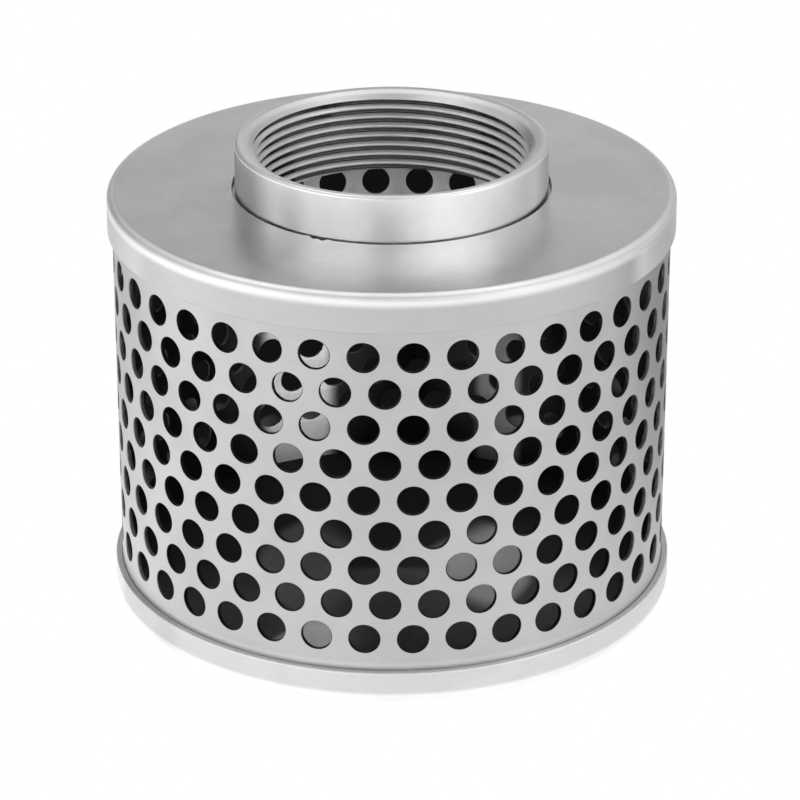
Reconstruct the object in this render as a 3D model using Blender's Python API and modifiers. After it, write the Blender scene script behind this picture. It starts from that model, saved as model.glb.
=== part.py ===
"""Hydraulic suction strainer: a punched steel can under a threaded coupling.

The screen is a punched strip rolled into a tube. It stands in a pressed cup at the bottom and
is closed by a pressed cap at the top. A turned coupling with a seating flange stands up through
the cap. Sizes are in metres, +Z is up, and the origin is the centre of the underside.
"""
import math

import bmesh
import bpy
from mathutils.geometry import delaunay_2d_cdt

# Whole strainer
BODY_HEIGHT = 0.1366
SEAT_CLEARANCE = 0.0003

# Perforated screen
SCREEN_RADIUS = 0.0878
SCREEN_SHEET = 0.0012
HOLE_DIAMETER = 0.0095
HOLES_PER_ROW = 37
ROW_SPACING = 0.01172
ROW_STAGGER = 0.43
TOP_ROW_DROP = 0.0084
BOTTOM_ROW_MARGIN = 0.0075
FIRST_HOLE_ANGLE = math.radians(-5.4)

# Pressed caps
CAP_SHEET = 0.0012
SKIRT_DEPTH = 0.0125
TOP_CORNER_RADIUS = 0.0026
LIP_HEIGHT = 0.0113
LIP_GAP = 0.0009
BOTTOM_CORNER_RADIUS = 0.0042

# Threaded coupling
BORE_RADIUS = 0.0423
COUPLING_WALL = 0.00685
COUPLING_RISE = 0.0149
COUPLING_DROP = 0.0116
RIM_LAND = 0.0021
RIM_ROUNDING = 0.0007
MOUTH_DEPTH = 0.0024
NECK_GAP = 0.0009
FLANGE_WIDTH = 0.0053
FLANGE_THICKNESS = 0.003

# Facets
HOLE_SIDES = 6
CAP_SIDES = 44
COUPLING_SIDES = 38
CORNER_STEPS = 2

# Places that follow from the sizes
CAP_UNDERSIDE = BODY_HEIGHT - CAP_SHEET
SKIRT_EDGE = BODY_HEIGHT - SKIRT_DEPTH
SKIRT_INNER_RADIUS = SCREEN_RADIUS + SEAT_CLEARANCE
LIP_INNER_RADIUS = SCREEN_RADIUS + LIP_GAP
COUPLING_RADIUS = BORE_RADIUS + COUPLING_WALL
NECK_HOLE_RADIUS = COUPLING_RADIUS + NECK_GAP
HOLE_PITCH = 2.0 * math.pi * SCREEN_RADIUS / HOLES_PER_ROW
TOP_ROW_HEIGHT = SKIRT_EDGE - TOP_ROW_DROP
ROW_COUNT = 1 + int((TOP_ROW_HEIGHT - LIP_HEIGHT - BOTTOM_ROW_MARGIN) / ROW_SPACING)

ZINC_GREY = (0.66, 0.66, 0.65)
TURNED_GREY = (0.72, 0.72, 0.71)


def clear_scene():
    """Remove every object that is already in the scene."""
    for existing in list(bpy.data.objects):
        bpy.data.objects.remove(existing, do_unlink=True)


def new_collection(name):
    """Make a collection under the scene's own."""
    collection = bpy.data.collections.new(name)
    bpy.context.scene.collection.children.link(collection)
    return collection


def metal(name, colour, roughness):
    """Make a plain metal with a Principled shader."""
    material = bpy.data.materials.new(name)
    material.use_nodes = True
    shader = material.node_tree.nodes["Principled BSDF"]
    shader.inputs["Base Color"].default_value = (*colour, 1.0)
    shader.inputs["Metallic"].default_value = 1.0
    shader.inputs["Roughness"].default_value = roughness
    return material


def corner_arc(centre_radius, centre_height, radius, start_degrees, end_degrees):
    """Give the points of a corner's quarter circle, both ends included."""
    points = []
    for step in range(CORNER_STEPS + 1):
        share = step / CORNER_STEPS
        angle = math.radians(start_degrees + share * (end_degrees - start_degrees))
        points.append((
            centre_radius + radius * math.cos(angle),
            centre_height + radius * math.sin(angle),
        ))
    return points


def turned(name, profile, sides, material, collection):
    """Turn a profile of (radius, height) points round the Z axis.

    The points run down the outer side and back up the inner one. Where both ends lie on the
    axis the outline stays open there, and the turned surface closes on its poles.
    """
    on_axis = profile[0][0] == 0.0 and profile[-1][0] == 0.0
    mesh = bpy.data.meshes.new(name)
    edges = [(index, index + 1) for index in range(len(profile) - 1)]
    if not on_axis:
        edges.append((len(profile) - 1, 0))
    mesh.from_pydata([(radius, 0.0, height) for radius, height in profile], edges, [])
    mesh.materials.append(material)
    body = bpy.data.objects.new(name, mesh)
    collection.objects.link(body)
    screw = body.modifiers.new("Turning", "SCREW")
    screw.steps = sides
    screw.render_steps = sides
    screw.use_merge_vertices = True
    screw.merge_threshold = 0.00001
    screw.use_smooth_shade = False
    return body


def bottom_cap_corner():
    """Give the inner corner of the bottom cap, from its floor out to its wall."""
    radius = BOTTOM_CORNER_RADIUS - CAP_SHEET
    centre_radius = LIP_INNER_RADIUS - radius
    return corner_arc(centre_radius, CAP_SHEET + radius, radius, -90.0, 0.0)


def top_cap_corner():
    """Give the inner corner of the top cap, from its underside out to its skirt."""
    radius = TOP_CORNER_RADIUS - CAP_SHEET
    centre_radius = SKIRT_INNER_RADIUS - radius
    return corner_arc(centre_radius, CAP_UNDERSIDE - radius, radius, 90.0, 0.0)


def height_on_corner(corner, radius):
    """Give the height of a faceted corner where the screen's outer edge meets it."""
    radius = radius / math.cos(math.pi / CAP_SIDES)
    for (near_radius, near_height), (far_radius, far_height) in zip(corner, corner[1:]):
        if near_radius <= radius <= far_radius:
            share = (radius - near_radius) / (far_radius - near_radius)
            return near_height + share * (far_height - near_height)
    return corner[0][1] if radius < corner[0][0] else corner[-1][1]


def build_bottom_cap(material, collection):
    """Press the cup that the screen stands in."""
    outer_radius = LIP_INNER_RADIUS + CAP_SHEET
    outer_corner = corner_arc(
        outer_radius - BOTTOM_CORNER_RADIUS, BOTTOM_CORNER_RADIUS, BOTTOM_CORNER_RADIUS, 0.0, -90.0
    )
    profile = [(0.0, CAP_SHEET), *bottom_cap_corner(), (LIP_INNER_RADIUS, LIP_HEIGHT)]
    profile += [(outer_radius, LIP_HEIGHT), *outer_corner, (0.0, 0.0)]
    return turned("bottom_cap", profile, CAP_SIDES, material, collection)


def build_top_cap(material, collection):
    """Press the cap whose skirt covers the screen's upper edge."""
    outer_radius = SKIRT_INNER_RADIUS + CAP_SHEET
    outer_corner = corner_arc(
        outer_radius - TOP_CORNER_RADIUS, BODY_HEIGHT - TOP_CORNER_RADIUS, TOP_CORNER_RADIUS, 90.0, 0.0
    )
    profile = [(NECK_HOLE_RADIUS, BODY_HEIGHT), *outer_corner, (outer_radius, SKIRT_EDGE)]
    profile += [(SKIRT_INNER_RADIUS, SKIRT_EDGE), *reversed(top_cap_corner())]
    profile.append((NECK_HOLE_RADIUS, CAP_UNDERSIDE))
    return turned("top_cap", profile, CAP_SIDES, material, collection)


def build_coupling(material, collection):
    """Turn the threaded coupling, whose flange seats under the top cap."""
    rim = BODY_HEIGHT + COUPLING_RISE
    lower_end = BODY_HEIGHT - COUPLING_DROP
    flange_top = CAP_UNDERSIDE - SEAT_CLEARANCE
    flange_radius = COUPLING_RADIUS + FLANGE_WIDTH
    profile = [
        (COUPLING_RADIUS - RIM_LAND, rim),
        (COUPLING_RADIUS - RIM_ROUNDING, rim),
        (COUPLING_RADIUS, rim - RIM_ROUNDING),
        (COUPLING_RADIUS, flange_top),
        (flange_radius, flange_top),
        (flange_radius, flange_top - FLANGE_THICKNESS),
        (COUPLING_RADIUS, flange_top - FLANGE_THICKNESS),
        (COUPLING_RADIUS, lower_end),
        (BORE_RADIUS, lower_end),
        (BORE_RADIUS, rim - MOUTH_DEPTH),
    ]
    return turned("coupling", profile, COUPLING_SIDES, material, collection)


def row_places():
    """Give each row's height and the distance of its first hole along the strip."""
    start = FIRST_HOLE_ANGLE * SCREEN_RADIUS
    rows = []
    for row in range(ROW_COUNT):
        shift = ROW_STAGGER * HOLE_PITCH if row % 2 else 0.0
        rows.append((TOP_ROW_HEIGHT - row * ROW_SPACING, start + shift))
    return rows


def strip_outline(rows, lower_edge, upper_edge):
    """Draw the flat strip's outline, with ends that step between the holes of each row."""
    end = [(first - HOLE_PITCH / 2.0, height) for height, first in rows]
    end = [(end[0][0], upper_edge), *end, (end[-1][0], lower_edge)]
    length = HOLES_PER_ROW * HOLE_PITCH
    lower = [(end[-1][0] + step * HOLE_PITCH, lower_edge) for step in range(1, HOLES_PER_ROW)]
    upper = [(end[0][0] + step * HOLE_PITCH, upper_edge) for step in range(1, HOLES_PER_ROW)]
    far_end = [(distance + length, height) for distance, height in reversed(end)]
    return [*end, *lower, *far_end, *reversed(upper)]


def hole_outlines(rows):
    """Draw every punched hole, each with the area of the true circle."""
    sector = 2.0 * math.pi / HOLE_SIDES
    corner_radius = HOLE_DIAMETER / 2.0 * math.sqrt(sector / math.sin(sector))
    outlines = []
    for height, first in rows:
        for column in range(HOLES_PER_ROW):
            centre = first + column * HOLE_PITCH
            outlines.append([
                (
                    centre + corner_radius * math.sin(side * sector),
                    height + corner_radius * math.cos(side * sector),
                )
                for side in range(HOLE_SIDES)
            ])
    return outlines


def punch_strip(outline, holes):
    """Cover the flat strip with triangles and leave the holes open."""
    points = list(outline)
    edges = [(index, (index + 1) % len(outline)) for index in range(len(outline))]
    for hole in holes:
        first = len(points)
        points.extend(hole)
        edges += [(first + side, first + (side + 1) % HOLE_SIDES) for side in range(HOLE_SIDES)]
    border = [list(range(len(outline)))]
    placed, _, faces, sources, _, _ = delaunay_2d_cdt(points, edges, border, 1, 1e-7)
    hole_of = [(source[0] - len(outline)) // HOLE_SIDES for source in sources]
    sheet = [face for face in faces if hole_of[face[0]] < 0 or len({hole_of[i] for i in face}) > 1]
    return placed, sheet


def build_screen(material, collection):
    """Punch the strip, roll it into a tube, join its ends and give it its thickness."""
    lower_edge = height_on_corner(bottom_cap_corner(), SCREEN_RADIUS) + SEAT_CLEARANCE
    upper_edge = height_on_corner(top_cap_corner(), SCREEN_RADIUS) - SEAT_CLEARANCE
    rows = row_places()
    points, faces = punch_strip(strip_outline(rows, lower_edge, upper_edge), hole_outlines(rows))

    rolled = bmesh.new()
    vertices = []
    for distance, height in points:
        angle = distance / SCREEN_RADIUS
        place = (SCREEN_RADIUS * math.sin(angle), -SCREEN_RADIUS * math.cos(angle), height)
        vertices.append(rolled.verts.new(place))
    for face in faces:
        rolled.faces.new([vertices[index] for index in face])
    bmesh.ops.remove_doubles(rolled, verts=rolled.verts[:], dist=0.00001)

    wall = bmesh.ops.extrude_face_region(rolled, geom=rolled.faces[:], use_keep_orig=True)
    shrink = (SCREEN_RADIUS - SCREEN_SHEET) / SCREEN_RADIUS
    for part in wall["geom"]:
        if isinstance(part, bmesh.types.BMVert):
            part.co.x *= shrink
            part.co.y *= shrink
    bmesh.ops.recalc_face_normals(rolled, faces=rolled.faces[:])

    mesh = bpy.data.meshes.new("screen")
    rolled.to_mesh(mesh)
    rolled.free()
    mesh.materials.append(material)
    screen = bpy.data.objects.new("screen", mesh)
    collection.objects.link(screen)
    return screen


def build_strainer():
    """Build the four pieces of the strainer."""
    clear_scene()
    collection = new_collection("hydraulic_suction_strainer")
    build_bottom_cap(metal("plated_bottom_cap", ZINC_GREY, 0.42), collection)
    build_screen(metal("plated_screen", ZINC_GREY, 0.40), collection)
    build_top_cap(metal("plated_top_cap", ZINC_GREY, 0.38), collection)
    build_coupling(metal("turned_coupling", TURNED_GREY, 0.30), collection)


build_strainer()
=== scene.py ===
"""Looks of a hydraulic suction strainer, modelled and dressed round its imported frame.

A punched, zinc plated can stands in a pressed cup and is closed by a pressed cap, through which a
turned and threaded coupling stands up. Each of them is a class that holds its sizes, builds its
mesh and dresses it. Sizes are in metres, +Z is up and -Y faces the camera. A turn is an angle
round the axis, from -Y towards +X.
"""
import logging
import math
from dataclasses import dataclass, field
from enum import Enum
from typing import Callable, ClassVar, Sequence

import bmesh
import bpy
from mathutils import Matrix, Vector


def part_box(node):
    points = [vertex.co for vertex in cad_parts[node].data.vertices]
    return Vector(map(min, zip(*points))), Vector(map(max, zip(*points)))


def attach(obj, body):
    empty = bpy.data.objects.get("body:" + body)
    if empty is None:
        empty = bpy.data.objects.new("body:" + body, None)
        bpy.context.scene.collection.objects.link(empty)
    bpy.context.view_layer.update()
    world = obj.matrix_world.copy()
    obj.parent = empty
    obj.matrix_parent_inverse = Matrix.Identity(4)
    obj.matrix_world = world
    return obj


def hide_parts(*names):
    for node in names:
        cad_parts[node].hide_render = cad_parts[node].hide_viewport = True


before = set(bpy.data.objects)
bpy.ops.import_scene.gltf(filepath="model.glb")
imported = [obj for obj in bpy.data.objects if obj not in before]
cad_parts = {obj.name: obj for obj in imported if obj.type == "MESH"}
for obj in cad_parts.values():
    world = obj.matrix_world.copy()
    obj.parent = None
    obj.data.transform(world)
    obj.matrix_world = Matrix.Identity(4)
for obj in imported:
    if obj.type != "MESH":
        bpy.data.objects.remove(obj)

log = logging.getLogger("strainer")

Socket = bpy.types.NodeSocket

BODY = "root"
WELD_DISTANCE = 1e-6
PLACE_TOLERANCE = 1e-5
FULL_TURN = 2.0 * math.pi
QUARTER_TURN = math.radians(90.0)
WHITE = (1.0, 1.0, 1.0, 1.0)
# A distance from the axis that no piece reaches, for zones without an outer limit.
FAR = 1.0
# Nearer to the axis than this, lines that run round it are drawn as if they were this far off.
NEAREST_LINE = 0.001
# The sockets of a Mix node that blends colours: its factor, both colours and the result.
MIX_INPUTS = (0, 6, 7)
MIX_RESULT = 2


class Slot(Enum):
    """The record's material slots, which each piece names as its own."""

    COUPLING = "turned_coupling"
    CAPS = "plated_caps"
    SCREEN = "plated_screen"


class Region(Enum):
    """The material slots of one mesh, in their order on the object."""

    OUTSIDE = 0
    INSIDE = 1
    CUT = 2


def polar(place: Vector) -> float:
    """Give the distance of a place from the strainer's axis."""
    return math.hypot(place.x, place.y)


def towards(turn: float, lift: float = 0.0) -> Vector:
    """Give the direction at a turn and at a lift above the floor, both in radians."""
    level = math.cos(lift)
    return Vector((math.sin(turn) * level, -math.cos(turn) * level, math.sin(lift)))


class Bench:
    """The hand operations that every piece is made with."""

    @staticmethod
    def clear() -> None:
        """Leave edit mode and deselect everything."""
        if bpy.context.object is not None and bpy.context.object.mode != "OBJECT":
            bpy.ops.object.mode_set(mode="OBJECT")
        bpy.ops.object.select_all(action="DESELECT")

    @staticmethod
    def take(body: bpy.types.Object) -> None:
        """Make an object the only selected one, and the active one.

        Args:
            body: The object to work on.
        """
        Bench.clear()
        body.select_set(True)
        bpy.context.view_layer.objects.active = body

    @staticmethod
    def settle(body: bpy.types.Object) -> None:
        """Put an object's place, turn and size into its mesh.

        Args:
            body: The object, whose origin is the frame's afterwards.
        """
        Bench.take(body)
        bpy.ops.object.transform_apply(location=True, rotation=True, scale=True)

    @staticmethod
    def added(name: str) -> bpy.types.Object:
        """Name the primitive that was just added and settle it.

        Args:
            name: The new object's name.

        Returns:
            The new object.
        """
        body = bpy.context.object
        body.name = name
        body.data.name = name
        Bench.settle(body)
        return body

    @staticmethod
    def edit(body: bpy.types.Object, mode: str = "VERT") -> None:
        """Enter edit mode with nothing selected.

        Args:
            body: The object to edit.
            mode: What is selected there, VERT, EDGE or FACE.
        """
        Bench.take(body)
        bpy.ops.object.mode_set(mode="EDIT")
        bpy.ops.mesh.select_mode(type=mode)
        bpy.ops.mesh.select_all(action="DESELECT")

    @staticmethod
    def pick_vertices(body: bpy.types.Object, test: Callable[[Vector], bool]) -> None:
        """Select the vertices that pass a test on their place, in edit mode.

        Args:
            body: The object in edit mode.
            test: Says whether a vertex at that place is wanted.
        """
        mesh = bmesh.from_edit_mesh(body.data)
        for vertex in mesh.verts:
            vertex.select = test(vertex.co)
        mesh.select_flush_mode()
        mesh.select_flush(True)
        bmesh.update_edit_mesh(body.data)

    @staticmethod
    def pick_edges(body: bpy.types.Object, test: Callable[[bmesh.types.BMEdge], bool]) -> None:
        """Select the edges that pass a test, in edit mode.

        Args:
            body: The object in edit mode.
            test: Says whether an edge is wanted.
        """
        mesh = bmesh.from_edit_mesh(body.data)
        for edge in [edge for edge in mesh.edges if test(edge)]:
            edge.select = True
        mesh.select_flush_mode()
        bmesh.update_edit_mesh(body.data)

    @staticmethod
    def extrude(x: float = 0.0, y: float = 0.0, z: float = 0.0) -> None:
        """Extrude what is selected by a step, in edit mode."""
        bpy.ops.mesh.extrude_region_move(TRANSFORM_OT_translate={"value": (x, y, z)})

    @staticmethod
    def weld(distance: float = WELD_DISTANCE) -> None:
        """Merge what lies closer together than a distance, in edit mode."""
        bpy.ops.mesh.select_all(action="SELECT")
        bpy.ops.mesh.remove_doubles(threshold=distance)

    @staticmethod
    def close_up(distance: float = WELD_DISTANCE) -> None:
        """Weld the mesh in edit mode, turn every face outwards and leave edit mode.

        Args:
            distance: How close together two vertices are made one.
        """
        Bench.weld(distance)
        bpy.ops.mesh.normals_make_consistent(inside=False)
        bpy.ops.object.mode_set(mode="OBJECT")

    @staticmethod
    def apply(body: bpy.types.Object, kind: str, **settings: object) -> None:
        """Add a modifier to an object and apply it.

        Args:
            body: The object to shape.
            kind: The modifier's type, in Blender's capitals.
            settings: The modifier's own settings.
        """
        Bench.take(body)
        modifier = body.modifiers.new(kind.title(), kind)
        for name, value in settings.items():
            setattr(modifier, name, value)
        bpy.ops.object.modifier_apply(modifier=modifier.name)

    @staticmethod
    def even_normals(body: bpy.types.Object, crease: float) -> None:
        """Shade a finished piece smooth, with flats that stay flat beside their rounded edges.

        Args:
            body: The object to shade.
            crease: The angle between two faces from which their edge stays sharp.
        """
        Bench.take(body)
        bpy.ops.object.shade_smooth_by_angle(angle=crease)
        Bench.apply(body, "WEIGHTED_NORMAL", mode="FACE_AREA", weight=50, keep_sharp=True)


@dataclass(frozen=True)
class Corner:
    """One corner of a turned outline, with the rounding that the tool leaves there."""

    radius: float
    height: float
    rounding: float = 0.0
    steps: int = 4

    def holds(self, place: Vector) -> bool:
        """Say whether a place lies on the ring that the corner turns into."""
        aside = abs(polar(place) - self.radius)
        return aside < PLACE_TOLERANCE and abs(place.z - self.height) < PLACE_TOLERANCE


@dataclass(frozen=True)
class Lathe:
    """Turns an outline into a solid of revolution, ring by ring."""

    sides: int = 192

    def turn(self, name: str, outline: Sequence[Corner]) -> bpy.types.Object:
        """Extrude a circle along an outline and round the corners that ask for it.

        Args:
            name: The new object's name.
            outline: The corners in order. A corner on the axis closes the solid with a pole, and
                otherwise the last ring is joined to the first.

        Returns:
            The turned object, closed, with its faces outwards.
        """
        rings = [corner for corner in outline if corner.radius > 0.0]
        Bench.clear()
        bpy.ops.mesh.primitive_circle_add(
            vertices=self.sides, radius=rings[0].radius, location=(0.0, 0.0, rings[0].height)
        )
        body = Bench.added(name)
        Bench.edit(body)
        bpy.ops.mesh.select_all(action="SELECT")
        closed = len(rings) == len(outline)
        if not closed:
            self._pole(body, rings[0], outline[0].height)
        for near, far in zip(rings, rings[1:]):
            self._next_ring(near, far)
        if closed:
            self._next_ring(rings[-1], rings[0])
        else:
            self._pole(body, rings[-1], outline[-1].height)
        Bench.weld()
        for corner in rings:
            if corner.rounding:
                self._round(body, corner)
        Bench.close_up()
        return body

    @staticmethod
    def _next_ring(near: Corner, far: Corner) -> None:
        """Extrude the selected ring from one corner to the next.

        Args:
            near: The corner that the selected ring is at.
            far: The corner that the new ring goes to.
        """
        Bench.extrude(z=far.height - near.height)
        share = far.radius / near.radius
        bpy.ops.transform.resize(value=(share, share, 1.0), center_override=(0.0, 0.0, far.height))

    @staticmethod
    def _pole(body: bpy.types.Object, corner: Corner, height: float) -> None:
        """Close the selected ring with a pole on the axis, and select the ring again.

        Args:
            body: The object in edit mode.
            corner: The corner that the selected ring is at.
            height: The height of the pole.
        """
        Bench.extrude(z=height - corner.height)
        bpy.ops.mesh.merge(type="CENTER")
        Bench.pick_vertices(body, corner.holds)

    @staticmethod
    def _round(body: bpy.types.Object, corner: Corner) -> None:
        """Bevel the ring of edges at a corner.

        Args:
            body: The object in edit mode.
            corner: The corner to round.
        """
        bpy.ops.mesh.select_mode(type="EDGE")
        bpy.ops.mesh.select_all(action="DESELECT")
        Bench.pick_edges(body, lambda edge: all(corner.holds(end.co) for end in edge.verts))
        bpy.ops.mesh.bevel(offset=corner.rounding, segments=corner.steps, affect="EDGES")
        bpy.ops.mesh.select_mode(type="VERT")


class NodeBench:
    """Adds and joins the nodes of one tree."""

    # The share of a side's half width within which it is covered in full.
    SIDE_CORE: ClassVar[float] = 0.6

    def __init__(self, tree: bpy.types.NodeTree) -> None:
        """Take a node tree to work on.

        Args:
            tree: A material's, a world's, a light's or a group's tree.
        """
        self.tree = tree

    def add(
        self, kind: str, settings: dict[str, object] | None = None, **inputs: object
    ) -> bpy.types.Node:
        """Add a node and fill its sockets.

        Args:
            kind: The node's type name, without the ShaderNode in front.
            settings: Properties of the node itself.
            inputs: Socket names, with _ for a space, and a value, a colour or another socket.

        Returns:
            The new node.
        """
        node = self.tree.nodes.new("ShaderNode" + kind)
        for name, value in (settings or {}).items():
            setattr(node, name, value)
        for name, value in inputs.items():
            self.fill(node.inputs[name.replace("_", " ")], value)
        return node

    def group(self, tree: bpy.types.NodeTree, **inputs: object) -> bpy.types.Node:
        """Add a shared group and fill its sockets."""
        return self.add("Group", {"node_tree": tree}, **inputs)

    def fill(self, socket: Socket, value: object) -> None:
        """Join a socket to another one, or set its value.

        Args:
            socket: The input to fill.
            value: An output socket, a number or a colour.
        """
        if isinstance(value, Socket):
            self.tree.links.new(value, socket)
        else:
            socket.default_value = value

    def _operation(self, kind: str, operation: str, values: Sequence[object]) -> bpy.types.Node:
        """Add a node that works something out.

        Args:
            kind: The node's type name.
            operation: The node's operation.
            values: Its inputs in order.

        Returns:
            The new node.
        """
        node = self.add(kind, {"operation": operation})
        for socket, value in zip(node.inputs, values):
            self.fill(socket, value)
        return node

    def math(self, operation: str, *values: object) -> Socket:
        """Work a number out of numbers and sockets."""
        return self._operation("Math", operation, values).outputs[0]

    def vector(self, operation: str, *values: object) -> bpy.types.Node:
        """Add a Vector Math node, whose result is in its Vector or its Value."""
        return self._operation("VectorMath", operation, values)

    def mix(self, factor: object, first: object, second: object, blend: str = "MIX") -> Socket:
        """Blend two colours.

        Args:
            factor: How far the second colour is blended in.
            first: The first colour.
            second: The second colour.
            blend: The way to blend them, in Blender's capitals.

        Returns:
            The blended colour.
        """
        node = self.add("Mix", {"data_type": "RGBA", "blend_type": blend})
        for index, value in zip(MIX_INPUTS, (factor, first, second)):
            self.fill(node.inputs[index], value)
        return node.outputs[MIX_RESULT]

    def ramp(
        self, value: Socket, low: float, high: float, start: float = 0.0, end: float = 1.0
    ) -> Socket:
        """Map a range of values smoothly onto another.

        Args:
            value: The value to map.
            low: The value that gives start.
            high: The value that gives end.
            start: What low becomes.
            end: What high becomes.

        Returns:
            The mapped value.
        """
        node = self.add(
            "MapRange", {"interpolation_type": "SMOOTHSTEP"}, Value=value,
            From_Min=low, From_Max=high, To_Min=start, To_Max=end,
        )
        return node.outputs["Result"]

    def band(self, value: Socket, low: float, high: float, soft: float) -> Socket:
        """Give 1 where a value lies between two limits, and 0 beyond their soft edges.

        Args:
            value: The value to look at.
            low: The lower limit.
            high: The upper limit.
            soft: How far past a limit the band fades out.

        Returns:
            A value from 0 to 1.
        """
        above = self.ramp(value, low - soft, low)
        return self.math("MULTIPLY", above, self.ramp(value, high, high + soft, 1.0, 0.0))

    def side(self, turn: Socket, middle: float, half_width: float) -> Socket:
        """Give how far a place lies on one side of the axis.

        Args:
            turn: The place's turn, in radians.
            middle: The turn of the side's middle, in degrees.
            half_width: How far from the middle it has faded out, in degrees.

        Returns:
            A value from 0 to 1.
        """
        aside = self.math("ABSOLUTE", self.math("SUBTRACT", turn, math.radians(middle)))
        half = math.radians(half_width)
        return self.ramp(aside, self.SIDE_CORE * half, half, 1.0, 0.0)


class GroupBench(NodeBench):
    """A new shader group on the bench, with its sockets in place."""

    def __init__(self, name: str, values: Sequence[str], results: Sequence[str]) -> None:
        """Make a group that reads a Vector and values and puts out values.

        Args:
            name: The group's name.
            values: The names of the values that it reads.
            results: The names of the values that it puts out.
        """
        super().__init__(bpy.data.node_groups.new(name, "ShaderNodeTree"))
        sockets = self.tree.interface
        sockets.new_socket("Vector", in_out="INPUT", socket_type="NodeSocketVector")
        for label in values:
            sockets.new_socket(label, in_out="INPUT", socket_type="NodeSocketFloat")
        for label in results:
            sockets.new_socket(label, in_out="OUTPUT", socket_type="NodeSocketFloat")
        self.inputs = self.tree.nodes.new("NodeGroupInput").outputs
        self.outputs = self.tree.nodes.new("NodeGroupOutput").inputs


class Effects:
    """The shader groups that several finishes share, each built once."""

    def __init__(self) -> None:
        """Build the groups."""
        self.around = self._around()
        self.bloom = self._bloom()
        self.grain = self._grain()

    @staticmethod
    def _around() -> bpy.types.NodeTree:
        """Give a place's distance from the axis, its turn in radians and its height.

        Returns:
            The group's tree.
        """
        bench = GroupBench("round_the_axis", [], ["Radius", "Turn", "Height"])
        x, y, z = bench.add("SeparateXYZ", Vector=bench.inputs["Vector"]).outputs
        squares = bench.math("ADD", bench.math("MULTIPLY", x, x), bench.math("MULTIPLY", y, y))
        bench.fill(bench.outputs["Radius"], bench.math("SQRT", squares))
        turn = bench.math("ARCTAN2", x, bench.math("MULTIPLY", y, -1.0))
        bench.fill(bench.outputs["Turn"], turn)
        bench.fill(bench.outputs["Height"], z)
        return bench.tree

    @staticmethod
    def _bloom() -> bpy.types.NodeTree:
        """Give the cloudy stains and the fine flecks that a plating bath leaves.

        Returns:
            The group's tree.
        """
        bench = GroupBench("plating_bloom", ["Patch", "Fleck"], ["Cloud", "Fleck"])
        place = bench.inputs["Vector"]
        cloud = bench.add(
            "TexNoise", Vector=place, Scale=bench.inputs["Patch"],
            Detail=5.0, Roughness=0.62, Distortion=0.4,
        )
        fleck = bench.add(
            "TexNoise", Vector=place, Scale=bench.inputs["Fleck"], Detail=3.0, Roughness=0.55
        )
        bench.fill(bench.outputs["Cloud"], bench.ramp(cloud.outputs["Fac"], 0.32, 0.68))
        bench.fill(bench.outputs["Fleck"], bench.ramp(fleck.outputs["Fac"], 0.3, 0.7))
        return bench.tree

    def _grain(self) -> bpy.types.NodeTree:
        """Give lines that run round the axis, as a lathe tool or a roller leaves them.

        The noise is read on a circle of one size, whose height stands for the way across the
        lines, so that the lines have no seam and are as long everywhere.

        Returns:
            The group's tree.
        """
        bench = GroupBench("lines_round_the_axis", ["Lines", "Run"], ["Line"])
        place = bench.inputs["Vector"]
        around = bench.group(self.around, Vector=place)
        parts = bench.add("SeparateXYZ", Vector=place)
        away = bench.math("MAXIMUM", around.outputs["Radius"], NEAREST_LINE)
        stretch = bench.math("DIVIDE", bench.inputs["Run"], away)
        outline = bench.math("ADD", around.outputs["Radius"], around.outputs["Height"])
        wound = bench.add(
            "CombineXYZ",
            X=bench.math("MULTIPLY", parts.outputs["X"], stretch),
            Y=bench.math("MULTIPLY", parts.outputs["Y"], stretch),
            Z=bench.math("MULTIPLY", outline, bench.inputs["Lines"]),
        )
        line = bench.add("TexNoise", Vector=wound.outputs[0], Scale=1.0, Detail=4.0, Roughness=0.6)
        bench.fill(bench.outputs["Line"], line.outputs["Fac"])
        return bench.tree


@dataclass(frozen=True)
class WearAndPaintedLightZone:
    """A band round the axis where the shade is changed, mostly as painted light or painted shade.

    low and high are heights, inner and outer are distances from the axis, gain multiplies the
    shade, soft is how far the band fades out, broken is how far stains break it up, and roughness
    is added. turn and half_width, in degrees, keep it to one side.
    """

    low: float
    high: float
    gain: float
    inner: float = 0.0
    outer: float = FAR
    soft: float = 0.0004
    broken: float = 0.0
    roughness: float = 0.0
    turn: float = 0.0
    half_width: float = 0.0

    def mask(self, bench: NodeBench, around: bpy.types.Node, cloud: Socket) -> Socket:
        """Give how far the zone covers a place.

        Args:
            bench: The material's node bench.
            around: The group that gives Radius, Turn and Height.
            cloud: The stains that break the zone up.

        Returns:
            A value from 0 to 1.
        """
        share = bench.band(around.outputs["Height"], self.low, self.high, self.soft)
        if self.inner > 0.0 or self.outer < FAR:
            ring = bench.band(around.outputs["Radius"], self.inner, self.outer, self.soft)
            share = bench.math("MULTIPLY", share, ring)
        if self.broken > 0.0:
            whole = bench.ramp(cloud, 0.0, 1.0, 1.0, 1.0 - self.broken)
            share = bench.math("MULTIPLY", share, whole)
        if self.half_width > 0.0:
            side = bench.side(around.outputs["Turn"], self.turn, self.half_width)
            share = bench.math("MULTIPLY", share, side)
        return share


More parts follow.
